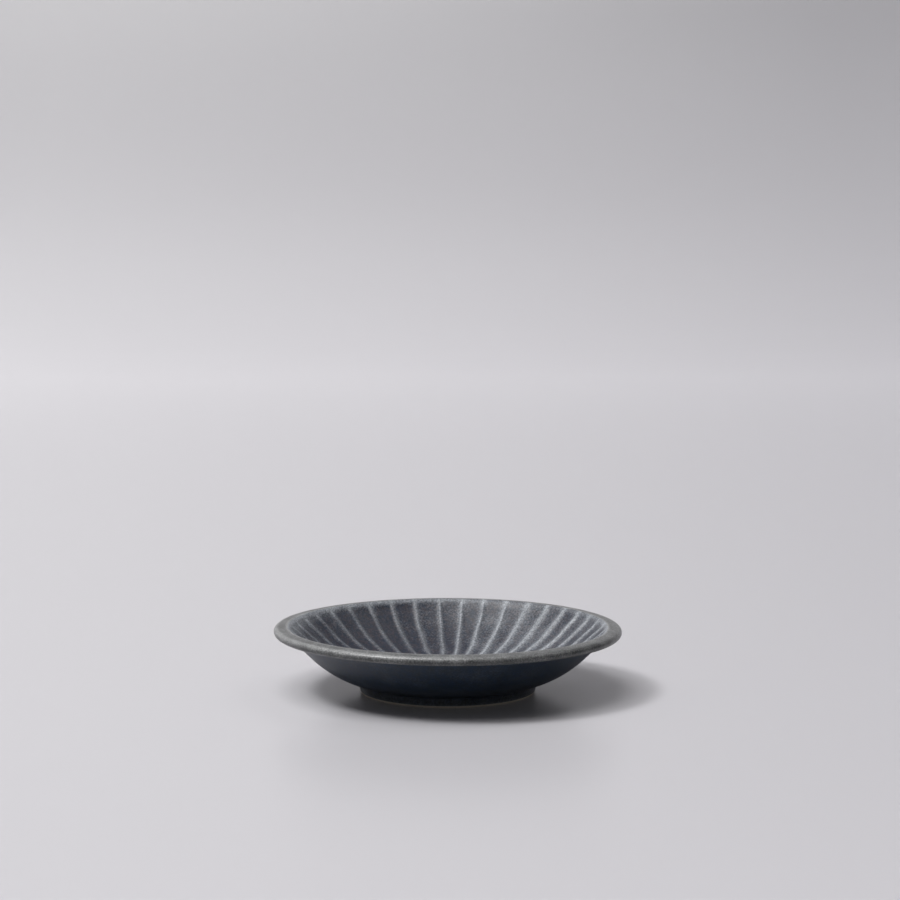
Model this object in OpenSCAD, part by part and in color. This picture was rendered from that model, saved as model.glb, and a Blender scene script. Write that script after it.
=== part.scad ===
// Soy sauce dish: a low round stoneware bowl with a rolled lip, a fluted inside and a foot ring.
// Millimetres, +Z up. The origin is the middle of the foot's resting face.
// Sections are drawn with x as the distance from the axis and y as the height.

/* [Dish] */
// Diameter over the lip
rim_d = 97; // [88:0.5:110]
// Height from the table to the top of the lip
dish_h = 18.8; // [17:0.1:23]
// Diameter of the flat floor inside
well_d = 34; // [20:0.5:38]
// Thickness of the floor above the foot
floor_t = 2.55; // [2.2:0.05:4]

/* [Lip] */
// Width of the lip, from its outer edge to its inner edge
lip_w = 4.6; // [3.6:0.05:8]
// Thickness of the lip
lip_t = 2.3; // [1.8:0.05:3]
// Fall of the lip from its inner round to its outer round
lip_droop = 0.3; // [0:0.05:1]

/* [Wall] */
// Slope of the straight upper wall inside, in degrees
inside_slope = 41; // [38:0.5:48]
// Wall thickness where it joins the lip
neck_t = 1.6; // [1.5:0.05:2.6]
// Slope of the straight upper wall outside, in degrees
wall_slope = 44.5; // [42:0.5:54]
// Radius of the bend between the upper wall and the foot
bend_r = 31.5; // [18:0.5:40]

/* [Foot ring] */
// Diameter of the foot where it meets the wall
foot_d = 49.4; // [40:0.1:56]
// Height of the foot
foot_h = 2.85; // [1.8:0.05:4]
// Thickness of the foot ring at its top
foot_w = 4; // [3:0.1:6]
// Draft of each side of the foot ring, over its height
foot_draft = 0.25; // [0:0.05:0.6]
// Bevel of the two resting edges
foot_bevel = 0.4; // [0.2:0.05:0.6]

/* [Flutes] */
// Number of flutes, with a ridge between each two
flute_count = 40; // [24:1:48]
// Diameter at which the flutes start on the floor
flute_d = 42; // [41:0.5:56]
// Radius of the round back of a ridge
ridge_r = 0.6; // [0.5:0.05:0.65]
// Height of a ridge above the glaze in the flutes
ridge_h = 0.3; // [0.25:0.05:0.5]
// Depth of the ridge backs below the plain inside surface
ridge_sink = 0.07; // [0.03:0.01:0.15]
// Uneven spacing of the hand-cut ridges, in degrees
ridge_drift = 1.45; // [0:0.05:2]
// Turn of the first ridge from +Y, in degrees
ridge_turn = -4.9; // [-9:0.1:9]

/* [Glaze] */
// Thickness of the glaze
glaze_t = 0.25; // [0.15:0.05:0.4]
// Height of the bare clay edge above the table
bare_h = 0.7; // [0.5:0.05:1.2]

/* [Hidden] */
$fn = 96;

function unit(v) = v / norm(v);
function heading(a) = [cos(a), sin(a)];

// Lip: two rounds joined by straight faces
lip_r = lip_t / 2;
lip_in = [rim_d / 2 - lip_w + lip_r, dish_h - lip_r];
lip_out = [rim_d / 2 - lip_r, lip_in.y - lip_droop];

// Inside wall: an arc that leaves the flat floor at the well's edge, then a straight part up to the lip's round
floor_z = foot_h + floor_t;
well_r = well_d / 2;
inside_up = heading(inside_slope + 90);
inside_end = lip_in + lip_r * inside_up;
// The distance from the axis at which the straight part would meet the floor
corner_x = inside_end.x - (inside_end.y - floor_z) / tan(inside_slope);
bowl_r = (corner_x - well_r) / tan(inside_slope / 2);
bowl_c = [well_r, floor_z + bowl_r];

// Neck: the line across the wall through the middle of the lip's inner round
neck_p = inside_end - neck_t * inside_up;

// Outside wall: a straight upper part, then an arc that ends on the foot
slope_up = heading(wall_slope + 90);
foot_p = [foot_d / 2, foot_h];
foot_slope = wall_slope - acos(1 - (foot_p - neck_p) * slope_up / bend_r);
foot_up = heading(foot_slope + 90);
bend_c = foot_p + bend_r * foot_up;

// The clay's underside, where the foot ring is joined on
under_z = foot_h + glaze_t * foot_up.y;

// Flutes: a shallow band cut into the inside, with round-backed ridges left standing in it
flute_r = flute_d / 2;
flute_depth = ridge_h + ridge_sink;
// Length of each ridge that runs on under the plain floor
ridge_run = 1;
// Path of a ridge's round: along the arc, then along the straight part to where the lip's round begins
ridge_path_r = bowl_r + ridge_sink + ridge_r;
ridge_start = asin((flute_r - ridge_run - well_r) / bowl_r);
ridge_bend = inside_slope - ridge_start;
ridge_l = norm(inside_end - bowl_c + bowl_r * inside_up) - lip_r;
// The straight rod laps over the bent one and is a little thicker, so that the two cross cleanly
ridge_lap = 0.4;
ridge_more = 0.02;
// Waves of the uneven spacing in one turn, and where they start
drift_waves = 2;
drift_turn = 31;
// A margin for cuts that pass beyond a face
over = 1;
// A small shift of the straight part inside, so that it crosses its arc cleanly instead of just touching it
shift = 0.01;

// Half-plane on the left of the line from a to b, as a square large enough for the dish
module left_of(a, b) {
    translate(a) rotate(atan2(b.y - a.y, b.x - a.x)) translate([-rim_d, 0]) square(2 * rim_d);
}

// The section of the lip, drawn in by k all round
module lip_section(k) {
    fall = lip_out - lip_in;
    side = (lip_r - k) * unit([-fall.y, fall.x]);
    translate(lip_in) {
        circle(lip_r - k);
        translate(fall) circle(lip_r - k);
        polygon([-side, fall - side, fall + side, side]);
    }
}

// A point on the bend's arc, drawn in by k, where the wall faces away from the direction up
function bend_at(k, up) = bend_c - (bend_r - k) * up;

// Everything above the outside surface of the bowl and below the neck, drawn in by k
module bowl_block(k) {
    low = bend_at(k, foot_up);
    high = bend_at(k, slope_up);
    top = neck_p + k / (inside_up * slope_up) * inside_up;
    over_top = inside_end + over * inside_up;
    polygon([[0, low.y], low, high, top, over_top, [0, over_top.y]]);
    intersection() {
        translate(bend_c) circle(bend_r - k);
        translate([0, low.y]) square(rim_d);
        left_of(bend_at(k + over, slope_up), bend_at(k + over, foot_up));
    }
}

// Everything above the inside wall, widened by k: the disc of its arc, and all over its straight part
module inside_room(k) {
    low = bowl_c - (bowl_r + k - shift) * inside_up;
    high = inside_end - (k - shift) * inside_up + over * heading(inside_slope);
    translate(bowl_c) circle(bowl_r + k);
    polygon([low, high, [high.x, bowl_c.y], [0, bowl_c.y], [0, low.y]]);
}

// The space inside the bowl with the flutes' band, widened by k
module bowl_space(k) {
    translate([0, floor_z - k]) square([well_r, bowl_r + k + over]);
    intersection() {
        inside_room(k);
        translate([well_r - over, 0]) square(rim_d);
    }
    intersection() {
        inside_room(flute_depth + k);
        translate([flute_r - k, 0]) square(rim_d);
    }
}

// The clay bowl's section without the ridges
module bowl_section() {
    difference() {
        bowl_block(glaze_t);
        bowl_space(glaze_t);
    }
}

// The section of the foot ring, drawn in by k on both sides
module foot_section(k) {
    out_x = foot_d / 2 - k;
    in_x = foot_d / 2 - foot_w + k;
    polygon([
        [in_x + foot_draft + foot_bevel, 0],
        [out_x - foot_draft - foot_bevel, 0],
        [out_x - foot_draft, foot_bevel],
        [out_x, foot_h],
        [out_x, under_z],
        [in_x, under_z],
        [in_x, foot_h],
        [in_x + foot_draft, foot_bevel]
    ]);
}

// The coat under the bowl and down the sides of the foot, before it is parted at the foot's middle.
// The two blocks share the neck's line, so all above the lip's middle is cut away.
module lower_coat() {
    difference() {
        union() {
            bowl_block(0);
            foot_section(0);
        }
        bowl_block(glaze_t);
        foot_section(glaze_t);
        lip_section(0);
        square([rim_d, bare_h]);
        translate([0, lip_in.y]) square(rim_d);
    }
}

// Turn of ridge i from +Y, with the hand's slow drift
function ridge_angle(i) =
    let (even = i * 360 / flute_count)
    even + ridge_turn + ridge_drift * cos(drift_waves * (even - drift_turn));

// All ridges, each a round rod of clay laid along the inside wall. The glaze thins away over their backs.
module ridges() {
    for (i = [0 : flute_count - 1])
        rotate(90 - ridge_angle(i))
            translate([bowl_c.x, 0, bowl_c.y])
                rotate([90, 90 - ridge_start, 0]) {
                    rotate_extrude(angle = ridge_bend) translate([ridge_path_r, 0]) circle(ridge_r);
                    rotate(ridge_bend) translate([ridge_path_r, -ridge_lap, 0]) rotate([-90, 0, 0])
                        cylinder(r = ridge_r + ridge_more, h = ridge_l + ridge_lap);
                }
}

module bowl_body() color("#b9a892") {
    rotate_extrude() bowl_section();
    ridges();
}

module rim_roll() color("#b9a892")
    rotate_extrude() difference() {
        lip_section(glaze_t);
        bowl_section();
    }

module foot_ring() color("#a8967f") rotate_extrude() foot_section(glaze_t);

module inside_glaze() color("#4b515c")
    difference() {
        rotate_extrude() difference() {
            bowl_block(2 * glaze_t);
            bowl_space(0);
            lip_section(0);
            bowl_section();
        }
        ridges();
    }

module rim_glaze() color("#8d8f8d")
    rotate_extrude() difference() {
        lip_section(0);
        lip_section(glaze_t);
        bowl_section();
    }

module outside_glaze() color("#262b36")
    rotate_extrude() difference() {
        lower_coat();
        square([foot_d / 2 - foot_w / 2, dish_h]);
    }

module underside_glaze() color("#262b36")
    rotate_extrude() intersection() {
        lower_coat();
        square([foot_d / 2 - foot_w / 2, dish_h]);
    }

bowl_body();
rim_roll();
foot_ring();
inside_glaze();
rim_glaze();
outside_glaze();
underside_glaze();
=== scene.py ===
"""Looks of a small fluted soy sauce dish: stoneware clay under a satin blue-grey glaze.

Lengths are in millimetres until a mesh is made, which is in metres. The dish stands on z = 0 with its
axis on +Z. Angles round the axis run from +Y towards +X. A section is a line in the plane of the axis,
with the distance from the axis first and the height second.
"""

import logging
import math
from dataclasses import dataclass
from enum import Enum

import bpy
import numpy as np
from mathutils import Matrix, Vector


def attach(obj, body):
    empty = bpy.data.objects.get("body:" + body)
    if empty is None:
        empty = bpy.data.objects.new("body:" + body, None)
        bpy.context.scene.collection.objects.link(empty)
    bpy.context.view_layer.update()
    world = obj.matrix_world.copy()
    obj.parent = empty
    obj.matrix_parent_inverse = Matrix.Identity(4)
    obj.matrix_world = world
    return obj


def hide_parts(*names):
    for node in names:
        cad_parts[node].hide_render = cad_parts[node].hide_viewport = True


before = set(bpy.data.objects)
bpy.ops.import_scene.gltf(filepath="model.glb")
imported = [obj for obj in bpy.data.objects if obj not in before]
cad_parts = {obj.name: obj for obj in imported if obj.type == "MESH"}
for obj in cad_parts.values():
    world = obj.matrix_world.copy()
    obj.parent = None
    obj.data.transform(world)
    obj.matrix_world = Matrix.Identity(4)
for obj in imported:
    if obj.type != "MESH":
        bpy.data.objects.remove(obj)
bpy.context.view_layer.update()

LOG = logging.getLogger("dish")
MM = 0.001
SHARP_EDGE = math.radians(38)
FADE_POWER = 1.5
# Noise textures run from about 0.2 to 0.8, round a middle of 0.5
NOISE_LOW, NOISE_MID, NOISE_HIGH = 0.2, 0.5, 0.8
SAME_POINT, TINY = 1e-6, 1e-9
# Mesh attribute of how pale each glaze is: thin glaze over edges, and painted light and shade on the inside
# and the lip
PALENESS = "paleness"
Array = np.ndarray
Stops = tuple[tuple[float, float], ...]
Tree = bpy.types.NodeTree
Socket = bpy.types.NodeSocket


class Slot(Enum):
    """Material slots of the dish's record."""

    CLAY = "clay"
    INSIDE = "inside_glaze"
    RIM = "rim_glaze"
    OUTSIDE = "outside_glaze"


class Ends(Enum):
    """How the rows of a surface of revolution end."""

    RING = "the last row joins the first"
    POLES = "the first and the last row are points on the axis"


def linear(colour: str) -> tuple[float, float, float, float]:
    """Turn an sRGB hex colour into the linear colour that a shader takes, by the sRGB curve.

    Args:
        colour: Six hex digits with a leading hash.

    Returns:
        Red, green, blue and an alpha of 1.
    """
    parts = np.array([int(colour[i : i + 2], 16) for i in (1, 3, 5)]) / 255
    lit = np.where(parts <= 0.04045, parts / 12.92, ((parts + 0.055) / 1.055) ** 2.4)
    return (*(float(c) for c in lit), 1.0)


def add_node(
    tree: Tree, kind: str, inputs: dict[str | int, object] | None = None, **settings: object
) -> bpy.types.Node:
    """Add one shader node, with its settings, its values and its links.

    Args:
        tree: The node tree of a material or of the world.
        kind: The node's type name.
        inputs: Values or output sockets by input name or number. A socket is linked, a value is set.
        **settings: Properties of the node.

    Returns:
        The new node.
    """
    made = tree.nodes.new(kind)
    for name, value in settings.items():
        setattr(made, name, value)
    for key, value in (inputs or {}).items():
        if isinstance(value, Socket):
            tree.links.new(value, made.inputs[key])
        else:
            made.inputs[key].default_value = value
    return made


def empty_material(name: str) -> tuple[bpy.types.Material, Tree, Socket]:
    """Make a material whose node tree only gives the place on the piece.

    Args:
        name: The material's name.

    Returns:
        The material, its node tree and the place.
    """
    material = bpy.data.materials.new(name)
    material.use_nodes = True
    material.node_tree.nodes.clear()
    place = add_node(material.node_tree, "ShaderNodeTexCoord").outputs["Object"]
    return material, material.node_tree, place


def noise(tree: Tree, place: Socket, size_mm: float, detail: float = 2.0, roughness: float = 0.5) -> Socket:
    """Noise with marks of about that size."""
    values = {"Vector": place, "Scale": 1 / (size_mm * MM), "Detail": detail, "Roughness": roughness}
    return add_node(tree, "ShaderNodeTexNoise", values).outputs["Fac"]


def ranged(tree: Tree, value: Socket, start: float, end: float, low: float = 0, high: float = 1) -> Socket:
    """Value carried from the span between start and end to the one between low and high."""
    limits = {"Value": value, "From Min": start, "From Max": end, "To Min": low, "To Max": high}
    return add_node(tree, "ShaderNodeMapRange", limits).outputs["Result"]


def swayed(tree: Tree, base: Socket, marks: Socket, share: float) -> Socket:
    """Base value plus a share of the distance of a noise from its middle."""
    off = add_node(tree, "ShaderNodeMath", {0: marks, 1: NOISE_MID}, operation="SUBTRACT").outputs[0]
    return add_node(tree, "ShaderNodeMath", {0: off, 1: share, 2: base}, operation="MULTIPLY_ADD").outputs[0]


def mixed(tree: Tree, share: Socket, first: Socket | str, second: str, blend: str = "MIX") -> Socket:
    """Colour mixed by a share from a first one, a socket or hex, and a second one in hex."""
    colours = {0: share, 6: linear(first) if isinstance(first, str) else first, 7: linear(second)}
    return add_node(tree, "ShaderNodeMix", colours, data_type="RGBA", blend_type=blend).outputs[2]


def bumped(tree: Tree, height: Socket, relief_mm: float) -> Socket:
    """Normal of a surface with a fine relief."""
    values = {"Height": height, "Distance": relief_mm * MM, "Strength": 1.0}
    return add_node(tree, "ShaderNodeBump", values).outputs["Normal"]


def show(tree: Tree, surface: dict[str, object]) -> None:
    """Give a material its surface, from the shader's values."""
    shader = add_node(tree, "ShaderNodeBsdfPrincipled", surface)
    add_node(tree, "ShaderNodeOutputMaterial", {"Surface": shader.outputs[0]})


def linked(name: str, data: bpy.types.ID) -> bpy.types.Object:
    """Make an object and link it to the scene.

    Args:
        name: The object's name.
        data: Its mesh, lamp or camera.

    Returns:
        The new object.
    """
    made = bpy.data.objects.new(name, data)
    bpy.context.scene.collection.objects.link(made)
    return made


def unit(v: Array) -> Array:
    """Direction of a vector, with a length of 1."""
    return v / np.linalg.norm(v)


def turned(degrees: float) -> Array:
    """Unit direction in a section, turned from outwards towards up by that many degrees."""
    return np.array([math.cos(math.radians(degrees)), math.sin(math.radians(degrees))])


def arc(centre: Array, radius: float, start: float, end: float, count: int) -> Array:
    """Points on a round: centre plus radius times the direction, with the angle stepped evenly.

    Args:
        centre: Centre of the round in the section.
        radius: Radius of the round.
        start: First angle in degrees, from outwards towards up.
        end: Last angle in degrees.
        count: Number of points.

    Returns:
        The points, one a row.
    """
    angles = np.radians(np.linspace(start, end, count))
    return centre + radius * np.column_stack([np.cos(angles), np.sin(angles)])


def angle_of(v: Array) -> float:
    """Angle of a section direction in degrees, from outwards towards up."""
    return math.degrees(math.atan2(v[1], v[0]))


def fillet(corner: Array, first: Array, second: Array, radius: float, count: int) -> Array:
    """Round off a corner between two straight lines with an arc that touches both.

    The centre lies on the bisector, at the radius divided by the sine of half the angle between the lines.

    Args:
        corner: The corner point.
        first: Unit direction from the corner back along the line that comes in.
        second: Unit direction from the corner along the line that goes out.
        radius: Radius of the arc.
        count: Number of points.

    Returns:
        The arc's points, from the incoming line to the outgoing one.
    """
    half = math.acos(float(np.clip(first @ second, -1, 1))) / 2
    centre = corner + unit(first + second) * radius / math.sin(half)
    reach = radius / math.tan(half)
    start, end = angle_of(corner + first * reach - centre), angle_of(corner + second * reach - centre)
    end = start + (end - start + 180) % 360 - 180
    return arc(centre, radius, start, end, count)


def joined(*runs: Array) -> Array:
    """Join runs of section points into one line, leaving out points that repeat.

    Args:
        *runs: Arrays of points, in order.

    Returns:
        One array of points.
    """
    line = np.vstack(runs)
    step = np.linalg.norm(np.diff(line, axis=0), axis=1)
    return line[np.concatenate([[True], step > SAME_POINT])]


def along(line: Array) -> Array:
    """Length along a section line from its first point to each point."""
    return np.concatenate([[0.0], np.cumsum(np.linalg.norm(np.diff(line, axis=0), axis=1))])


def left_normals(line: Array) -> Array:
    """Unit normals on the left of a section line: the tangent at each point, turned by a quarter.

    Args:
        line: Points of the section line.

    Returns:
        The normals, one a row.
    """
    tangent = np.gradient(line, along(line), axis=0)
    tangent /= np.linalg.norm(tangent, axis=1)[:, None]
    return np.column_stack([-tangent[:, 1], tangent[:, 0]])


def spaced(line: Array, stations: Array) -> Array:
    """Points of a section line at the given lengths along it."""
    at = along(line)
    return np.column_stack([np.interp(stations, at, line[:, k]) for k in (0, 1)])


def bell(distance: Array, reach: float) -> Array:
    """Bell curve of a distance: exp(-(distance / reach)^2)."""
    return np.exp(-((distance / reach) ** 2))


def fade(distance: Array, reach: Array | float) -> Array:
    """What is left at a distance of 0 or more: exp(-(distance / reach)^1.5)."""
    return np.exp(-((distance / reach) ** FADE_POWER))


def turn_from(turn: Array, middle: float) -> Array:
    """Turn in degrees away from a middle turn, between -180 and 180."""
    return (turn - middle + 180) % 360 - 180


@dataclass(frozen=True)
class DishSizes:
    """Sizes of the dish in millimetres, the same as those of its solids."""

    rim_d: float = 97.0
    dish_h: float = 18.8
    well_d: float = 34.0
    floor_t: float = 2.55
    lip_w: float = 4.6
    lip_t: float = 2.3
    lip_droop: float = 0.3
    inside_slope: float = 41.0
    neck_t: float = 1.6
    wall_slope: float = 44.5
    bend_r: float = 31.5
    foot_d: float = 49.4
    foot_h: float = 2.85
    foot_w: float = 4.0
    foot_draft: float = 0.25
    foot_bevel: float = 0.4
    flute_d: float = 42.0
    glaze_t: float = 0.25
    bare_h: float = 0.7

    @property
    def lip_r(self) -> float:
        """Radius of the lip's two rounds."""
        return self.lip_t / 2

    @property
    def lip_in(self) -> Array:
        """Centre of the lip's inner round."""
        return np.array([self.rim_d / 2 - self.lip_w + self.lip_r, self.dish_h - self.lip_r])

    @property
    def lip_out(self) -> Array:
        """Centre of the lip's outer round."""
        return np.array([self.rim_d / 2 - self.lip_r, self.lip_in[1] - self.lip_droop])

    @property
    def lip_top(self) -> float:
        """Angle of the normal on the lip's upper face, in degrees."""
        return angle_of(self.lip_out - self.lip_in) + 90

    @property
    def floor_z(self) -> float:
        """Height of the flat floor inside."""
        return self.foot_h + self.floor_t

    @property
    def inside_up(self) -> Array:
        """Unit normal on the straight upper wall inside."""
        return turned(self.inside_slope + 90)

    @property
    def inside_end(self) -> Array:
        """Point where the straight wall inside touches the lip's inner round."""
        return self.lip_in + self.lip_r * self.inside_up

    @property
    def bowl_r(self) -> float:
        """Radius of the arc from the floor to the straight wall.

        Returns:
            The arc's length of tangent, divided by the tangent of half the slope.
        """
        slope, end = math.radians(self.inside_slope), self.inside_end
        corner = end[0] - (end[1] - self.floor_z) / math.tan(slope)
        return float(corner - self.well_d / 2) / math.tan(slope / 2)

    @property
    def bowl_c(self) -> Array:
        """Centre of the arc inside."""
        return np.array([self.well_d / 2, self.floor_z + self.bowl_r])

    @property
    def neck_p(self) -> Array:
        """Point on the outside wall, a wall's thickness behind the inside wall at the lip."""
        return self.inside_end - self.neck_t * self.inside_up

    @property
    def foot_p(self) -> Array:
        """Point where the outside wall meets the foot."""
        return np.array([self.foot_d / 2, self.foot_h])

    @property
    def foot_slope(self) -> float:
        """Slope of the outside wall at the foot, in degrees."""
        drop = (self.foot_p - self.neck_p) @ turned(self.wall_slope + 90) / self.bend_r
        return self.wall_slope - math.degrees(math.acos(1 - drop))

    @property
    def bend_c(self) -> Array:
        """Centre of the bend between the upper wall and the foot."""
        return self.foot_p + self.bend_r * turned(self.foot_slope + 90)


@dataclass(frozen=True)
class HandMade:
    """The small unevenness of a dish made by hand, which grows with the height above the table.

    The leans are rises per millimetre sideways, and the wave's turn is in radians.
    """

    settle: float = -0.12
    lean_x: float = -0.0040
    lean_y: float = -0.0022
    wave: float = 0.07
    wave_turn: float = 0.6

    def shaped(self, points: Array, sizes: DishSizes) -> Array:
        """Lift each point by a settling, a lean and a wave of two rounds a turn, times its share of height.

        Args:
            points: Places in millimetres, the last axis being x, y and z.
            sizes: Sizes of the dish.

        Returns:
            The places after the lift.
        """
        x, y, z = np.moveaxis(points, -1, 0)
        round_the_axis = np.arctan2(x, y)
        reach = np.hypot(x, y) / (sizes.rim_d / 2)
        lift = self.settle + self.lean_x * x + self.lean_y * y
        lift = lift + self.wave * reach * np.cos(2 * (round_the_axis - self.wave_turn))
        return np.stack([x, y, z + lift * z / sizes.dish_h], axis=-1)


def surface_mesh(name: str, places: Array, ends: Ends, paleness: Array | None = None) -> bpy.types.Object:
    """Make a closed mesh from rows of places that go round the axis.

    Four neighbours on the grid make a face. A row on the axis is one vertex, and its faces are triangles.
    The faces are turned so that the enclosed volume is positive, which makes them point outwards.

    Args:
        name: Name of the piece.
        places: Places in millimetres, as rows by columns by three.
        ends: How the rows end.
        paleness: How pale the glaze is by row or at each place, from 0 to 1, or None. It holds thin
        glaze, and on the inside and the lip painted light and shade too.

    Returns:
        The new object, linked to the scene.
    """
    rows, columns = places.shape[:2]
    index = np.arange(rows * columns).reshape(rows, columns)
    if ends is Ends.POLES:
        index[0, :], index[-1, :] = index[0, 0], index[-1, 0]
    else:
        index = np.vstack([index, index[:1]])
    near, far = index[:-1], index[1:]
    quads = np.stack([near, np.roll(near, -1, 1), np.roll(far, -1, 1), far], axis=-1).reshape(-1, 4)
    used, quads = np.unique(quads, return_inverse=True)
    quads = quads.reshape(-1, 4)
    co = places.reshape(-1, 3)[used] * MM
    a, b, c, d = (co[quads[:, k]] for k in range(4))
    if np.einsum("ij,ij->", a, np.cross(b, c)) + np.einsum("ij,ij->", a, np.cross(c, d)) < 0:
        quads = quads[:, ::-1]
    first_pole, last_pole = quads[:, 0] == quads[:, 1], quads[:, 2] == quads[:, 3]
    faces = quads[~(first_pole | last_pole)].tolist()
    faces += quads[first_pole][:, 1:].tolist() + quads[last_pole][:, :3].tolist()
    mesh = bpy.data.meshes.new(name)
    mesh.from_pydata(co, [], faces)
    if paleness is not None:
        values = mesh.attributes.new(PALENESS, "FLOAT", "POINT").data
        spread = np.broadcast_to(paleness, (rows, columns)).reshape(-1)
        values.foreach_set("value", spread[used].astype(np.float32))
    mesh.shade_smooth()
    mesh.set_sharp_from_angle(angle=SHARP_EDGE)
    return linked(name, mesh)


def revolved(section: Array, columns: int) -> Array:
    """Carry a section round the axis: x and y are the distance times the sine and cosine of the angle.

    Args:
        section: Points of the section.
        columns: Number of steps in one turn.

    Returns:
        Places as rows by columns by three.
    """
    turn = np.linspace(0, math.tau, columns, endpoint=False)
    r, z = section[:, :1], np.repeat(section[:, 1:], columns, axis=1)
    return np.stack([r * np.sin(turn), r * np.cos(turn), z], axis=-1)


@dataclass(frozen=True)
class GlazeFinish:
    """Satin ash glaze on stoneware, dipped and fired.

    The eye sees a dark blue-grey coat with a soft, broad shine. Where the coat runs thin over an edge,
    it breaks to a pale grey. Fine mottling comes from small crystals in the glaze, which are drawn coarser
    than real ones, so that they show.
    """

    name: str
    deep: str
    cloud: str
    mottling: float
    pale: str = "#94999d"
    roughness: float = 0.40
    ior: float = 1.5
    gloss: float = 0.0
    gloss_roughness: float = 0.22
    satin_spread: float = 0.06
    crystal_mm: float = 0.5
    crystal_detail: float = 3.0
    crystal_roughness: float = 0.65
    blotch_mm: float = 1.3
    blotch_spread: float = 0.15
    cloud_mm: float = 7.0
    breaking: float = 0.55
    relief_mm: float = 0.012

    def material(self) -> bpy.types.Material:
        """Build the glaze: thick colour to thin colour by the piece's own paleness attribute, with mottling.

        The paleness holds thin glaze, and on the inside and the lip painted light and shade too. The thick
        colour goes from deep to cloud in blotches. Crystals and slow clouds make the break from thick to
        thin ragged, and the crystals also change the lightness, the roughness and the relief.

        Returns:
            The material.
        """
        made, tree, place = empty_material(self.name)
        crystals = noise(tree, place, self.crystal_mm, self.crystal_detail, self.crystal_roughness)
        clouds = noise(tree, place, self.cloud_mm)
        blotches = noise(tree, place, self.blotch_mm)
        tint = ranged(tree, blotches, NOISE_MID - self.blotch_spread, NOISE_MID + self.blotch_spread)
        paleness = add_node(tree, "ShaderNodeAttribute", attribute_name=PALENESS).outputs["Fac"]
        ragged = swayed(tree, paleness, crystals, self.breaking)
        share = ranged(tree, swayed(tree, ragged, clouds, self.breaking), 0, 1)
        body = mixed(tree, share, mixed(tree, tint, self.deep, self.cloud), self.pale)
        fleck = ranged(tree, crystals, NOISE_LOW, NOISE_HIGH, 1 - self.mottling, 1 + self.mottling)
        colour = add_node(tree, "ShaderNodeVectorMath", {0: body, 1: fleck}, operation="MULTIPLY").outputs[0]
        low, high = self.roughness - self.satin_spread, self.roughness + self.satin_spread
        satin = ranged(tree, crystals, NOISE_LOW, NOISE_HIGH, low, high)
        show(tree, {
            "Base Color": colour, "Roughness": satin, "IOR": self.ior,
            "Normal": bumped(tree, crystals, self.relief_mm),
            "Coat Weight": self.gloss, "Coat Roughness": self.gloss_roughness,
        })
        return made


@dataclass(frozen=True)
class ClayFinish:
    """Fired stoneware clay, turned on a wheel and left bare.

    The eye sees a dull warm grey with sandy grains and small iron spots, and no shine. spot_core and
    spot_edge are the radii of a spot's core and edge, as shares of spot_mm.
    """

    name: str = "fired_stoneware_clay"
    clay: str = "#c9c2b8"
    sand: str = "#e0d9cf"
    iron: str = "#5a5048"
    roughness: float = 0.9
    grain_mm: float = 0.35
    grain_detail: float = 3.0
    grain_roughness: float = 0.7
    spot_mm: float = 2.2
    spot_core: float = 0.08
    spot_edge: float = 0.16
    spot_dark: float = 0.7
    relief_mm: float = 0.03

    def material(self) -> bpy.types.Material:
        """Build the clay: two clay tones mixed by fine grains, with sparse dark spots.

        Returns:
            The material.
        """
        made, tree, place = empty_material(self.name)
        grains = noise(tree, place, self.grain_mm, self.grain_detail, self.grain_roughness)
        cells = {"Vector": place, "Scale": 1 / (self.spot_mm * MM)}
        spots = add_node(tree, "ShaderNodeTexVoronoi", cells).outputs["Distance"]
        spotted = ranged(tree, spots, self.spot_core, self.spot_edge, self.spot_dark, 0)
        colour = mixed(tree, spotted, mixed(tree, grains, self.clay, self.sand), self.iron)
        relief = bumped(tree, grains, self.relief_mm)
        show(tree, {"Base Color": colour, "Roughness": self.roughness, "Normal": relief})
        return made


@dataclass
class Piece:
    """One piece of the dish: its sizes, its unevenness and what it stands for."""

    sizes: DishSizes
    hand: HandMade

    def made(
        self, name: str, places: Array, ends: Ends, node: str, slot: Slot, finish: bpy.types.Material,
        paleness: Array | None = None,
    ) -> bpy.types.Object:
        """Make a piece's mesh, seat it in place of its solid and dress it.

        Args:
            name: Name of the piece.
            places: Places in millimetres, as rows by columns by three.
            ends: How the rows end.
            node: Name of the solid that the piece stands for.
            slot: Material slot of the record; not used.
            finish: The piece's material.
            paleness: How pale the glaze is by row or at each place, from thin glaze and from painted light
            and shade, or None.

        Returns:
            The new object.
        """
        piece = surface_mesh(name, self.hand.shaped(places, self.sizes), ends, paleness)
        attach(piece, "root")
        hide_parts(node)
        piece.data.materials.append(finish)
        LOG.info("%s stands for %s with %d faces", name, node, len(piece.data.polygons))
        return piece

    @staticmethod
    def coat(line: Array, thickness: float) -> Array:
        """Give a section line a thickness, on its right, and close it into a loop.

        Args:
            line: The outer face, with the space outside the piece on its left.
            thickness: Thickness of the coat.

        Returns:
            The loop: the outer face, then the inner face backwards.
        """
        return np.vstack([line, (line - thickness * left_normals(line))[::-1]])


@dataclass
class InsideLine(Piece):
    """The plain inside face in section, from the axis onto the lip, before the flutes are cut.

    The seam is the angle on the lip's inner round, in degrees, where the lip's own glaze begins.
    """

    seam: float = 108.0

    def line(self) -> Array:
        """Flat floor, arc, straight wall, and the lip's inner round to the seam, each touching the next.

        Returns:
            The section line, densely spaced.
        """
        s = self.sizes
        floor = np.column_stack([np.linspace(0, s.well_d / 2, 60), np.full(60, s.floor_z)])
        curve = arc(s.bowl_c, s.bowl_r, -90, s.inside_slope - 90, 300)
        wall = np.linspace(curve[-1], s.inside_end, 100)
        lip = arc(s.lip_in, s.lip_r, s.inside_slope + 90, self.seam, 40)
        return joined(floor, curve, wall, lip)


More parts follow.
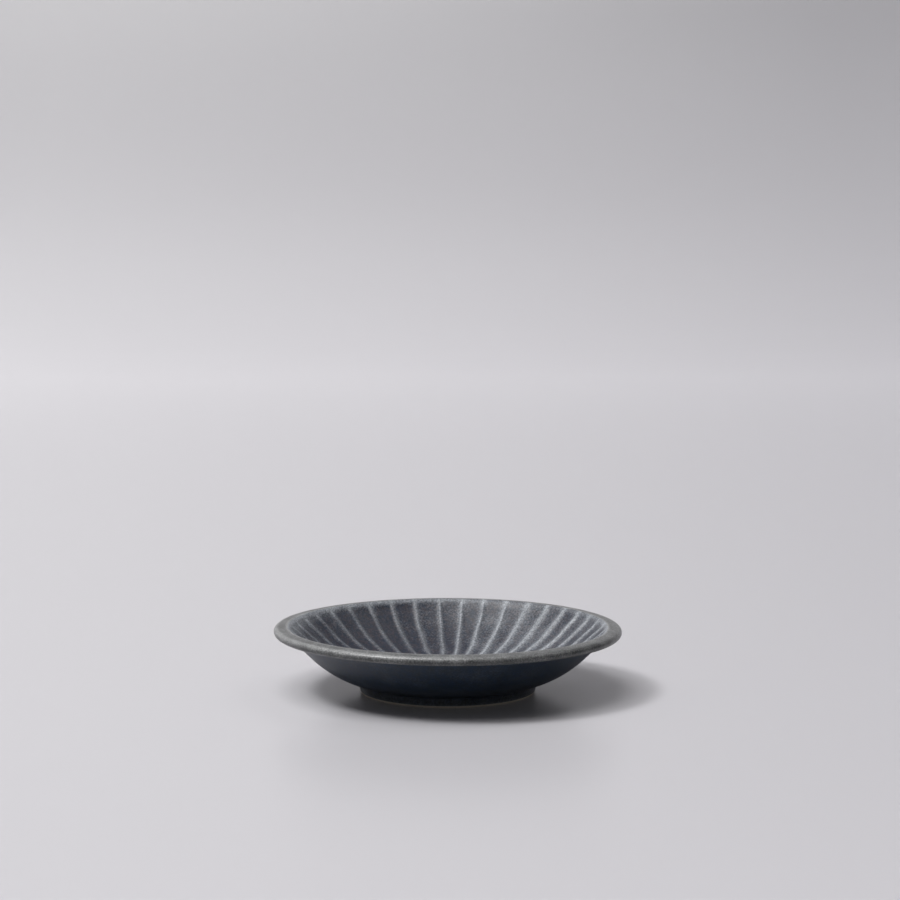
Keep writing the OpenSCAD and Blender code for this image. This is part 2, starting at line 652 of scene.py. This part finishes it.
@dataclass(frozen=True)
class FluteGrid:
    """Where the points of the fluted face lie, as rows by flutes by columns of a flute, in millimetres.

    section is the plain face's line, and at has the rows' lengths along it. left and right are the distances
    from the two ridges, over and under those from the flute's upper and lower end. bright is how well the
    glaze breaks on the nearer ridge, and angle is in radians.
    """

    section: Array
    at: Array
    angle: Array
    left: Array
    right: Array
    over: Array
    under: Array
    bright: Array

    @property
    def across(self) -> Array:
        """Arch across a flute: 4 left right / (left + right)^2, 0 on a ridge and 1 between two."""
        return 4 * self.left * self.right / np.maximum(self.left + self.right, TINY) ** 2


@dataclass
class FlutedInside(InsideLine):
    """The fluted inside: forty cut flutes, round ridges between them and arched ends at the lip.

    fade_out and run_out are shares of the distance from a flute's upper and lower end. They make the depth
    fade more slowly there than at the sides. paleness_at() says what the fields of the glaze do, painted
    light and shade among them.
    """

    # Turns of the ridges, in degrees
    count: int = 40
    turn: float = -4.6
    drift: float = 1.45
    drift_waves: int = 2
    drift_turn: float = 31.0
    crowd: float = 0.65
    side_change: float = 0.3
    stray: tuple[tuple[int, float], ...] = ((0, 0.7), (1, 0.35), (2, -0.15))
    # Relief of the flutes
    depth: float = 0.37
    hollow: float = 0.08
    crest: float = 0.60
    top_gap: float = 0.55
    arch_top: float = 1.4
    arch_low: float = 1.2
    fade_out: float = 0.40
    run_out: float = 0.45
    # Thin glaze on the ridges
    paint_shift: float = 0.28
    pale: float = 0.70
    # Painted light: the ridge lines widen on the right, where the walls face the key lamps
    lit_right_widening: float = 0.22
    ridge_pale: float = 0.90
    floor_fade: float = 0.9
    # Thin glaze in a collar round the top of the flutes, dimmed about one turn by painted shade against the
    # lamps' sheen on the back right, and reaching further at the far left as painted sheen
    collar: float = 0.82
    collar_reach: float = 0.90
    collar_arch: float = 0.9
    sheen_collar_reach: float = 1.6
    sheen_damping: float = 0.75
    damping_turn: float = 38.0
    damping_reach: float = 46.0
    # Painted light: paler towards the right, where the walls face the key lamps, and painted sheen at the
    # far left, where the wall is seen edge-on
    bright_from: float = 0.12
    bright_change: float = 0.25
    side_pale: float = 0.40
    lit_right_step: float = 0.04
    lit_side_share: float = 0.09
    far_left_sheen: float = 0.28
    # Unevenness of the hand
    wobble: float = 0.08
    wobble_from: float = 5.0
    wobble_mm: tuple[float, float] = (9.0, 16.0)
    top_play: float = 0.25
    low_play: float = 0.5
    dimmest: float = 0.8
    seed: int = 11
    # Rows and columns of the mesh
    floor_rows: int = 6
    wall_rows: tuple[int, int, int] = (18, 24, 34)
    coarse_share: float = 0.5
    below_start: float = 3.0
    above_start: float = 4.0
    near_lip: float = 4.6
    steps: int = 20
    crowding: float = 0.55

    def sideways(self, angle: Array) -> Array:
        """Side that an angle is on: tanh(sine / side_change), -1 at the left and 1 at the right."""
        return np.tanh(np.sin(angle) / self.side_change)

    def ridge_turns(self) -> Array:
        """Angle of each ridge in radians, with the first one repeated a turn later.

        Returns:
            Even steps plus a slow drift, as the ridges of the solids have, drawn together towards the
            back, with the strays of single ridges.
        """
        even = np.arange(self.count + 1) * 360 / self.count
        drift = self.drift * np.cos(np.radians(self.drift_waves * (even - self.drift_turn)))
        turns = even + self.turn + drift
        turns = turns - self.crowd * self.sideways(np.radians(turns))
        for ridge, degrees in self.stray:
            turns[ridge :: self.count] += degrees
        return np.radians(turns)

    def stations(self, total: float, low: float, fine: bool) -> Array:
        """Lengths along the section at which the surface has rows, close together at the flutes' ends.

        Args:
            total: Length of the section line.
            low: Length at which the flutes start.
            fine: Whether the rows are those of the shown face.

        Returns:
            The lengths, from the axis to the lip.
        """
        share = 1.0 if fine else self.coarse_share
        ends = (0, low - self.below_start, low + self.above_start, total - self.near_lip, total)
        rows = (self.floor_rows, *(int(count * share) for count in self.wall_rows))
        return np.unique(np.concatenate([np.linspace(*span) for span in zip(ends[:-1], ends[1:], rows)]))

    def grid(self, fine: bool) -> FluteGrid:
        """Lay out the points of the face.

        A column's share s of a flute's width becomes s - crowding * sin(2 pi s) / (2 pi), so that columns
        stand closer at the ridges. Each ridge wanders sideways by a sine of the length along it.

        Args:
            fine: Whether the rows are those of the shown face.

        Returns:
            The grid.
        """
        rng = np.random.default_rng(self.seed)
        phase, pace = rng.uniform(0, math.tau, self.count), rng.uniform(*self.wobble_mm, self.count)
        section = self.line()
        total = along(section)[-1]
        low = float(np.interp(self.sizes.flute_d / 2, section[:, 0], along(section)))
        at = self.stations(total, low, fine)
        r = spaced(section, at)[:, :1]
        wander = self.wobble * np.sin(at[:, None] * math.tau / pace + phase)
        wander = wander / np.maximum(r, self.wobble_from)
        ridge = self.ridge_turns() + np.column_stack([wander, wander[:, :1]])
        wide = np.diff(ridge, axis=1)[:, :, None]
        share = np.arange(self.steps) / self.steps
        share = share - self.crowding * np.sin(math.tau * share) / math.tau
        top = total - self.top_gap - rng.uniform(0, self.top_play, self.count)
        bottom = low + rng.uniform(-self.low_play, self.low_play, self.count)
        strength = rng.uniform(self.dimmest, 1.0, self.count)
        return FluteGrid(
            section=section,
            at=at,
            angle=ridge[:, :-1, None] + wide * share,
            left=r[:, :, None] * wide * share,
            right=r[:, :, None] * wide * (1 - share),
            over=(top - at[:, None])[:, :, None],
            under=(at[:, None] - bottom)[:, :, None],
            bright=np.where(share < 0.5, strength[:, None], np.roll(strength, -1)[:, None]),
        )

    def relief(self, grid: FluteGrid) -> Array:
        """Depth of the flutes below the plain face.

        It is 1 - exp(-(d / crest)^2) times the full depth, where d is the distance from the edge of the
        flute's outline, a strip with rounded ends. A shallow hollow across the strip is added.

        Args:
            grid: Where the points lie.

        Returns:
            The depth in millimetres.
        """
        edge = np.minimum(grid.left, grid.right)
        upper = self.within(edge, grid.over * self.fade_out, self.arch_top * self.fade_out)
        lower = self.within(edge, grid.under * self.run_out, self.arch_low)
        inset = np.maximum(np.minimum(upper, lower), 0)
        return (1 - bell(inset, self.crest)) * (self.depth + self.hollow * grid.across)

    def paleness_at(self, grid: FluteGrid) -> Array:
        """How pale the glaze is: thin on the ridges and round the flutes' tops, with painted light and
        shade.

        Both fade with the distance. The line on a ridge lies a little off its crest, towards the back, and
        is wider and paler on the right, which is painted light where the walls face the key lamps. The
        collar drops by a bell curve of the turn, which is painted shade damping the lamps' sheen on the back
        right, hangs in arches and reaches further at the far left, which is painted sheen. Both together are
        1 - (1 - ridge)(1 - collar), which ends at the floor. Small shares by the sine of the turn are added:
        painted light towards the right and painted sheen at the far left.

        Args:
            grid: Where the points lie.

        Returns:
            The paleness, about from 0 to 1.
        """
        sine, side = np.sin(grid.angle), self.sideways(grid.angle)
        far_left = np.minimum(sine, 0)
        rightwards = np.tanh((sine - self.bright_from) / self.bright_change)
        shift = -self.paint_shift * side
        painted = np.minimum(np.abs(grid.left - shift), np.abs(grid.right + shift))
        lower = self.within(painted, grid.under * self.run_out, self.arch_low)
        off_ridge = np.maximum(np.minimum(painted, lower), 0)
        # Wider and paler ridge lines on the right are painted light where the walls face the key lamps
        ridge = fade(off_ridge, self.pale * (1 + self.lit_right_widening * np.maximum(side, 0)))
        ridge = ridge * grid.bright * self.ridge_pale * (1 + self.side_pale * rightwards)
        # Painted shade over the back right, which damps the lamps' sheen on the collar
        damped = bell(turn_from(np.degrees(grid.angle), self.damping_turn), self.damping_reach)
        below = np.maximum(grid.over - self.collar_arch * (1 - grid.across) ** 2, 0)
        collar = self.collar * (1 - self.sheen_damping * damped)
        # A longer collar at the far left is painted sheen, where the wall is seen edge-on
        collar = collar * fade(below, self.collar_reach + self.sheen_collar_reach * far_left**4)
        paleness = (1 - (1 - ridge) * (1 - collar)) * bell(np.minimum(grid.under, 0), self.floor_fade)
        # Painted light towards the right and painted sheen at the far left
        return paleness + self.lit_side_share * sine + self.far_left_sheen * far_left**6 + self.lit_right_step * rightwards

    def face(self, sunk: float, fine: bool) -> tuple[Array, Array]:
        """Places of the fluted face: the plain face's points, moved against its normal by the relief.

        Args:
            sunk: How far the face lies below the shown face.
            fine: Whether the rows are those of the shown face.

        Returns:
            Places as rows by columns by three, and paleness as rows by columns.
        """
        grid = self.grid(fine)
        shape = (len(grid.at), -1)
        depth = (self.relief(grid) + sunk).reshape(shape)
        angle = grid.angle.reshape(shape)
        length, plain = along(grid.section), spaced(grid.section, grid.at)
        normals = np.column_stack([np.interp(grid.at, length, n) for n in left_normals(grid.section).T])
        r = plain[:, :1] - normals[:, :1] * depth
        z = plain[:, 1:] - normals[:, 1:] * depth
        r[0], z[0] = 0, z[0].mean()
        places = np.stack([r * np.sin(angle), r * np.cos(angle), z], axis=-1)
        return places, self.paleness_at(grid).reshape(shape)

    @staticmethod
    def within(side: Array, end: Array, corner: float) -> Array:
        """Distance from the edge of a strip, inside it, with a rounded corner where side and end meet.

        Args:
            side: Distance from the strip's long edge.
            end: Distance from the strip's end.
            corner: Radius of the corner.

        Returns:
            The distance, below 0 outside the strip.
        """
        near = np.hypot(np.maximum(corner - side, 0), np.maximum(corner - end, 0))
        deep = np.minimum(side, end)
        return np.where(deep >= corner, deep, corner - near)

    def build(self, finish: bpy.types.Material) -> bpy.types.Object:
        """Make the glaze on the inside as a closed coat.

        Args:
            finish: The glaze.

        Returns:
            The new object.
        """
        shown, paleness = self.face(0, True)
        back, _ = self.face(self.sizes.glaze_t, False)
        places = np.concatenate([shown, back[::-1]])
        paleness = np.concatenate([paleness, np.zeros(back.shape[:2])])
        return self.made(
            "fluted_inside_glaze", places, Ends.POLES, "inside_glaze", Slot.INSIDE, finish, paleness
        )


@dataclass
class OutsideLine(Piece):
    """The outside face in section, from the lip down to the end of the glaze on the foot."""

    neck_round: float = 0.8
    crease_round: float = 0.3
    crease_margin: float = 0.15

    def under_lip(self) -> Array:
        """Corner where the straight upper wall meets the lip's under face.

        Returns:
            The point where the two lines cross.
        """
        s = self.sizes
        way, up = unit(s.lip_out - s.lip_in), turned(s.wall_slope)
        under = s.lip_in + s.lip_r * turned(s.lip_top + 180)
        solve = np.linalg.solve(np.column_stack([way, -up]), s.neck_p - under)
        return under + solve[0] * way

    def neck(self) -> Array:
        """The round between the lip's under face and the wall, from the lip down."""
        way = unit(self.sizes.lip_out - self.sizes.lip_in)
        return fillet(self.under_lip(), way, -turned(self.sizes.wall_slope), self.neck_round, 12)

    def line(self) -> Array:
        """Neck round, straight wall, bend, a small round in the crease, and the foot's side.

        Returns:
            The section line, from the lip to the end of the glaze.
        """
        s = self.sizes
        down = unit(np.array([-s.foot_draft, s.foot_bevel - s.foot_h]))
        crease = fillet(s.foot_p, turned(s.foot_slope), down, self.crease_round, 10)
        neck = self.neck()
        bend = arc(s.bend_c, s.bend_r, s.wall_slope - 90, s.foot_slope - 90, 60)
        bend = bend[bend[:, 0] > crease[0, 0] + self.crease_margin]
        wall = np.linspace(neck[-1], bend[0], 14)
        end = s.foot_p + down * (s.foot_h - s.bare_h) / -down[1]
        return joined(neck, wall, bend, crease, np.linspace(crease[-1], end, 8)[1:])


@dataclass
class OuterWall(OutsideLine):
    """The dark glaze on the outside wall and down the outer side of the foot.

    The stops are distances and how thin the glaze is there: from the lip down, and from the lower edge up.
    """

    columns: int = 400
    neck_stops: Stops = ((0.0, 0.3), (0.5, 0.12), (1.4, 0.0))
    edge_stops: Stops = ((2.6, 0.0), (1.9, 0.05), (0.7, 0.08), (0.0, 0.35))

    def build(self, finish: bpy.types.Material) -> bpy.types.Object:
        """Make the outside glaze as a closed coat.

        Args:
            finish: The glaze.

        Returns:
            The new object.
        """
        line = self.line()
        loop = self.coat(line, self.sizes.glaze_t)
        at = along(line)
        stops = [down for down, _ in self.neck_stops] + [at[-1] - up for up, _ in self.edge_stops]
        values = [value for _, value in self.neck_stops + self.edge_stops]
        paleness = np.zeros((len(loop), 1))
        paleness[: len(line), 0] = np.interp(at, stops, values)
        places = revolved(loop, self.columns)
        return self.made(
            "outside_wall_glaze", places, Ends.RING, "outside_glaze", Slot.OUTSIDE, finish, paleness
        )


@dataclass
class RolledLip(OutsideLine):
    """The turned-out lip with its rounded edges, and the clay roll inside it.

    Distances run along the section, from the top of the lip's inner round outwards. Turns are in degrees.
    """

    columns: int = 480
    roll_columns: int = 240
    gap: float = 0.02
    # How pale the glaze is at the seam, at distances past the top, and at the end under the lip. Past the
    # outer round's top it falls to dark down the outer round and under the lip: painted shade where the lip
    # turns away from the lamps above
    seam_thin: float = 0.96
    stops: Stops = (
        (0.0, 0.74), (0.5, 0.46), (2.0, 0.47), (2.7, 0.99), (3.4, 0.86), (3.9, 0.40), (4.4, 0.05)
    )
    end_paleness: float = 0.04
    # Thick glaze and painted shade on the right front of the outer round, the side turned from the key lamps
    thick_and_shaded_turn: float = 131.0
    thick_and_shaded_reach: float = 44.0
    thick_and_shaded_share: float = 0.72
    thick_and_shaded_span: tuple[float, float] = (1.5, 2.6)
    # Darker glaze on the lip at the back
    back_reach: float = 66.0
    back_share: float = 0.85
    back_from: float = 0.3
    # A thin line on the lower edge at the front
    front_turn: float = 185.0
    front_reach: float = 50.0
    edge_at: float = 5.5
    edge_reach: float = 0.4
    edge_thin: float = 0.26
    # The upper face, paler on the right
    side_pale: float = 0.08
    flat_span: tuple[float, float, float, float] = (0.0, 0.6, 1.9, 2.4)

    def line(self) -> Array:
        """Inner round from the inside's seam, upper face, outer round and under face to the neck.

        Returns:
            The section line, from the inside to the outside wall.
        """
        s = self.sizes
        inside = InsideLine(s, self.hand).line()[-1]
        top = s.lip_top
        inner = arc(s.lip_in, s.lip_r, angle_of(inside - s.lip_in) % 360, top, 16)
        outer = arc(s.lip_out, s.lip_r, top, top - 180, 36)
        upper, under = np.linspace(inner[-1], outer[0], 8), np.linspace(outer[-1], self.neck()[0], 6)
        return joined(inner, upper, outer, under)

    def paleness_at(self, line: Array) -> Array:
        """How pale the glaze is: thin on the inner edge and the outer round, thicker on the face between.

        The stops give it along the section; its fall to dark down the outer round and under the lip is
        painted shade. It is cut down by bell curves of the turn: on one side of the outer round, where it is
        thick glaze and painted shade, and at the back. A thin line along the lower edge at the front is
        added, and a share of the sine of the turn on the upper face.

        Args:
            line: The section line.

        Returns:
            The paleness, as points of the section by columns.
        """
        at, half = along(line), len(line) // 2
        top = float(np.interp(self.sizes.lip_in[0], line[:half, 0], at[:half]))
        past = (at - top)[:, None]
        turn = np.linspace(0, 360, self.columns, endpoint=False)
        places, values = zip(*self.stops)
        # Past the outer round's top the stops fall to dark: painted shade down the outer round and under the
        # lip
        paleness = np.interp(past, [-top, *places, past[-1, 0]], [self.seam_thin, *values, self.end_paleness])
        # Thick glaze and painted shade on the right front of the outer round
        thick_and_shaded = bell(turn_from(turn, self.thick_and_shaded_turn), self.thick_and_shaded_reach)
        paleness = paleness * (1 - self.thick_and_shaded_share * np.interp(past, self.thick_and_shaded_span, [0.0, 1.0]) * thick_and_shaded)
        front = bell(turn_from(turn, self.front_turn), self.front_reach)
        paleness = paleness + self.edge_thin * bell(past - self.edge_at, self.edge_reach) * front
        back = bell(turn_from(turn, 0), self.back_reach)
        paleness = paleness * (1 - self.back_share * np.interp(past, [-top, self.back_from], [0.0, 1.0]) * back)
        flat = np.interp(past, self.flat_span, [0.0, 1.0, 1.0, 0.0])
        return paleness + self.side_pale * flat * np.sin(np.radians(turn))

    def build(self, glaze: bpy.types.Material, clay: bpy.types.Material) -> list[bpy.types.Object]:
        """Make the lip's glaze as a closed coat, and the clay roll under it.

        Args:
            glaze: The lip's glaze.
            clay: The clay.

        Returns:
            The two new objects.
        """
        glaze_t = self.sizes.glaze_t
        line = self.line()
        shown = self.paleness_at(line)
        paleness = np.concatenate([shown, np.zeros(shown.shape)])
        places = revolved(self.coat(line, glaze_t), self.columns)
        coat = self.made("rolled_lip_glaze", places, Ends.RING, "rim_glaze", Slot.RIM, glaze, paleness)
        core = revolved(line - (glaze_t + self.gap) * left_normals(line), self.roll_columns)
        roll = self.made("clay_lip_roll", core, Ends.RING, "rim_roll", Slot.CLAY, clay)
        return [coat, roll]


@dataclass
class ClayBowl(Piece):
    """The clay body of the bowl, under the glaze on every side."""

    gap: float = 0.02
    rows: int = 40
    closing_share: float = 0.5

    def build(self, finish: bpy.types.Material) -> bpy.types.Object:
        """Make the clay body: the fluted face drawn down by the glaze, and the outside drawn in by it.

        Args:
            finish: The clay.

        Returns:
            The new object.
        """
        s = self.sizes
        face, _ = FlutedInside(s, self.hand).face(s.glaze_t + self.gap, False)
        line = OutsideLine(s, self.hand).line()
        inner = line - (s.glaze_t + self.gap) * left_normals(line)
        inner = inner[inner[:, 1] > s.foot_h + s.glaze_t]
        inner = spaced(inner, np.linspace(0, along(inner)[-1], self.rows))
        closing = inner[-1] * np.array([[self.closing_share, 1], [0, 1]])
        places = np.concatenate([face, revolved(np.vstack([inner, closing]), face.shape[1])])
        return self.made("clay_bowl", places, Ends.POLES, "bowl_body", Slot.CLAY, finish)


@dataclass
class FootRing(OutsideLine):
    """The foot ring of bare clay, and the glaze in the recess inside it."""

    columns: int = 320
    edge_round: float = 0.35
    edge_thin: float = 0.35
    edge_fade: float = 0.7

    def ring(self) -> Array:
        """Section of the clay ring: two drafted sides, a flat resting face and two rounded edges.

        Returns:
            The closed section.
        """
        s = self.sizes
        out, inn = s.foot_d / 2 - s.glaze_t, s.foot_d / 2 - s.foot_w + s.glaze_t
        top = s.foot_h + s.glaze_t
        low_out, low_in = np.array([out - s.foot_draft, 0]), np.array([inn + s.foot_draft, 0])
        up_out, up_in = np.array([out, top]), np.array([inn, top])
        flat = np.array([1.0, 0.0])
        outer_edge = fillet(low_out, unit(up_out - low_out), -flat, self.edge_round, 8)
        inner_edge = fillet(low_in, flat, unit(up_in - low_in), self.edge_round, 8)
        rest = np.linspace(outer_edge[-1], inner_edge[0], 6)
        sides = np.linspace(up_out, outer_edge[0], 8), np.linspace(inner_edge[-1], up_in, 8)
        return joined(sides[0], outer_edge, rest, inner_edge, sides[1], np.linspace(up_in, up_out, 6)[:-1])

    def recess(self) -> Array:
        """Section line of the recess: its ceiling from the axis, a small round, and the foot's inner side.

        Returns:
            The section line, from the axis to the end of the glaze.
        """
        s = self.sizes
        corner = np.array([s.foot_d / 2 - s.foot_w, s.foot_h])
        low = np.array([corner[0] + s.foot_draft, s.foot_bevel])
        down = unit(low - corner)
        bend = fillet(corner, np.array([-1.0, 0.0]), down, self.crease_round, 10)
        ceiling = np.linspace([0, s.foot_h], bend[0], 16)
        end = corner + down * (s.foot_h - s.bare_h) / -down[1]
        return joined(ceiling, bend, np.linspace(bend[-1], end, 6))

    def build(self, clay: bpy.types.Material, glaze: bpy.types.Material) -> list[bpy.types.Object]:
        """Make the clay ring and the glaze in its recess.

        Args:
            clay: The clay.
            glaze: The glaze of the underside.

        Returns:
            The two new objects.
        """
        ring = revolved(self.ring(), self.columns)
        foot = self.made("clay_foot_ring", ring, Ends.RING, "foot_ring", Slot.CLAY, clay)
        line = self.recess()
        loop = self.coat(line, -self.sizes.glaze_t)
        at = along(line)
        paleness = np.zeros((len(loop), 1))
        paleness[: len(line), 0] = np.interp(at, [at[-1] - self.edge_fade, at[-1]], [0, self.edge_thin])
        places = revolved(loop, self.columns)
        coat = self.made(
            "underside_glaze_coat", places, Ends.POLES, "underside_glaze", Slot.OUTSIDE, glaze, paleness
        )
        return [foot, coat]


def hung(data: bpy.types.Light, place: Vector, way: Vector) -> bpy.types.Object:
    """Hang a lamp in the scene.

    Args:
        data: The lamp's data, with its name.
        place: Where it hangs, in metres.
        way: Where it shines.

    Returns:
        The lamp.
    """
    lamp = linked(data.name, data)
    lamp.location = place
    lamp.rotation_mode = "QUATERNION"
    lamp.rotation_quaternion = way.to_track_quat("-Z", "Y")
    return lamp


@dataclass(frozen=True)
class FarLamp:
    """A broad lamp far away: where it stands, how wide it looks in degrees, and how bright it is."""

    name: str
    way: tuple[float, float, float]
    spread: float
    light: float

    def build(self) -> None:
        """Make the lamp, turned towards the dish."""
        data = bpy.data.lights.new(self.name, "SUN")
        data.angle, data.energy = math.radians(self.spread), self.light
        hung(data, Vector(self.way), -Vector(self.way))


@dataclass(frozen=True)
class PanelLamp:
    """A flat lamp over the backdrop: its place, its aim, its width and height in metres, and its watts."""

    name: str
    place: tuple[float, float, float]
    aim: tuple[float, float, float]
    size: tuple[float, float]
    spread: float
    watts: float

    def build(self) -> None:
        """Make the lamp, turned towards its aim."""
        data = bpy.data.lights.new(self.name, "AREA")
        data.shape, data.size, data.size_y = "RECTANGLE", *self.size
        data.spread, data.energy = math.radians(self.spread), self.watts
        lamp = hung(data, Vector(self.place), Vector(self.aim) - Vector(self.place))
        lamp.visible_camera = False


@dataclass
class Stage:
    """A pale satin sweep, six soft lamps and an even sky. Lengths here are in metres."""

    # Painted light: paper paler on the left; painted shade: greyer at the back
    paper_lit_left: str = "#eeecf0"
    paper_shaded_right: str = "#d6d4d9"
    paper_back_shade: str = "#b0b0b0"
    paper_reach: float = 0.3
    paper_roughness: float = 0.26
    paper_ior: float = 1.55
    sweep_from: float = 0.95
    sweep_r: float = 0.8
    front_reach: float = 4.0
    back_rise: float = 3.0
    half_width: float = 4.0
    sky: str = "#ffffff"
    sky_light: float = 0.11
    lamps: tuple[FarLamp | PanelLamp, ...] = (
        FarLamp("broad_key_left", (-0.515, -0.230, 0.826), 14.0, 1.12),
        FarLamp("broad_key_upper_left", (-0.280, -0.210, 0.937), 44.0, 1.42),
        FarLamp("soft_fill_front", (-0.150, -0.430, 0.891), 30.0, 0.08),
        FarLamp("soft_edge_back_left", (-0.550, 0.400, 0.730), 40.0, 0.18),
        FarLamp("soft_fill_back_right", (0.500, 0.460, 0.734), 28.0, 0.62),
        PanelLamp("backdrop_panel", (-0.2, 0.75, 1.5), (-0.2, 1.7, 0.5), (2.4, 0.5), 100.0, 1.35),
    )

    def paper_sweep(self) -> bpy.types.Object:
        """Make the floor: a flat sheet that bends up behind the dish, its section carried along X.

        Returns:
            The floor object.
        """
        flat = np.column_stack([np.linspace(-self.front_reach, self.sweep_from, 40), np.zeros(40)])
        bend = arc(np.array([self.sweep_from, self.sweep_r]), self.sweep_r, -90, 0, 40)
        up = np.linspace(bend[-1], bend[-1] + [0, self.back_rise], 10)
        line = joined(flat, bend, up)
        across = np.linspace(-self.half_width, self.half_width, 24)
        x, y = np.broadcast_arrays(across, line[:, :1])
        z = np.broadcast_to(line[:, 1:], x.shape)
        index = np.arange(x.size).reshape(x.shape)
        faces = np.stack([index[:-1, :-1], index[:-1, 1:], index[1:, 1:], index[1:, :-1]], axis=-1)
        mesh = bpy.data.meshes.new("paper_sweep")
        mesh.from_pydata(np.stack([x, y, z], axis=-1).reshape(-1, 3), [], faces.reshape(-1, 4).tolist())
        mesh.shade_smooth()
        floor = linked("paper_sweep", mesh)
        return floor

    def paper_material(self) -> bpy.types.Material:
        """Build the satin coated paper of the sweep, a little paler on the left and greyer at the back.

        The paler left is painted light and the greyer back is painted shade.

        Returns:
            The material.
        """
        made, tree, place = empty_material("satin_backdrop_paper")
        parted = add_node(tree, "ShaderNodeSeparateXYZ", {0: place}).outputs
        share = ranged(tree, parted["X"], -self.paper_reach, self.paper_reach)
        tone = mixed(tree, share, self.paper_lit_left, self.paper_shaded_right)
        depth = ranged(tree, parted["Y"], self.sweep_from, self.sweep_from + self.sweep_r)
        shaded_at_back = mixed(tree, depth, tone, self.paper_back_shade, "MULTIPLY")
        show(tree, {"Base Color": shaded_at_back, "Roughness": self.paper_roughness, "IOR": self.paper_ior})
        return made

    def light(self) -> None:
        """Set the lamps and a dim even sky."""
        for lamp in self.lamps:
            lamp.build()
        world = bpy.data.worlds.new("studio_sky")
        world.use_nodes = True
        tree = world.node_tree
        tree.nodes.clear()
        sky = add_node(tree, "ShaderNodeBackground", {"Color": linear(self.sky), "Strength": self.sky_light})
        add_node(tree, "ShaderNodeOutputWorld", {"Surface": sky.outputs[0]})
        bpy.context.scene.world = world

    def build(self) -> None:
        """Make the sweep, dress it and light the scene."""
        floor = self.paper_sweep()
        floor.data.materials.append(self.paper_material())
        self.light()
        LOG.info("stage ready")


@dataclass(frozen=True)
class PhotoCamera:
    """The camera: a long lens from the front, a little above the dish, in metres and degrees."""

    place: tuple[float, float, float] = (0.0, -0.8026, 0.1620)
    down: float = 6.69
    turn: float = -0.043
    lens_mm: float = 116.64
    sensor_mm: float = 36.0

    def build(self) -> bpy.types.Object:
        """Make the camera and use it for the scene.

        Returns:
            The camera object.
        """
        data = bpy.data.cameras.new("front_camera")
        data.lens, data.sensor_width = self.lens_mm, self.sensor_mm
        camera = linked("front_camera", data)
        camera.location = self.place
        camera.rotation_euler = (math.radians(90 - self.down), 0, math.radians(self.turn))
        bpy.context.scene.camera = camera
        return camera


def main() -> None:
    """Build the dish piece by piece, then the stage and the camera."""
    logging.basicConfig(level=logging.INFO, format="%(name)s: %(message)s")
    bpy.context.scene.view_settings.view_transform = "Standard"
    sizes, hand = DishSizes(), HandMade()
    clay = ClayFinish().material()
    inside = GlazeFinish(
        "satin_ash_glaze_inside", deep="#2b3545", cloud="#413d44", mottling=0.8, pale="#a5a9af",
        roughness=0.48, gloss=0.06, blotch_mm=1.0,
    ).material()
    lip = GlazeFinish(
        "satin_ash_glaze_lip", deep="#23272a", cloud="#2d2e2c", mottling=0.65, pale="#a1a2a2",
        gloss=0.3, crystal_mm=0.42, cloud_mm=4.0, breaking=0.65,
    ).material()
    # The outside is the same glaze as the inside, drawn darker and bluer: painted shade on the wall that
    # faces down
    outside = GlazeFinish(
        "satin_ash_glaze_outside", deep="#132438", cloud="#1f272f", mottling=0.85, breaking=0.2,
    ).material()
    ClayBowl(sizes, hand).build(clay)
    FootRing(sizes, hand).build(clay, outside)
    OuterWall(sizes, hand).build(outside)
    RolledLip(sizes, hand).build(lip, clay)
    FlutedInside(sizes, hand).build(inside)
    Stage().build()
    PhotoCamera().build()


if __name__ == "__main__":
    main()
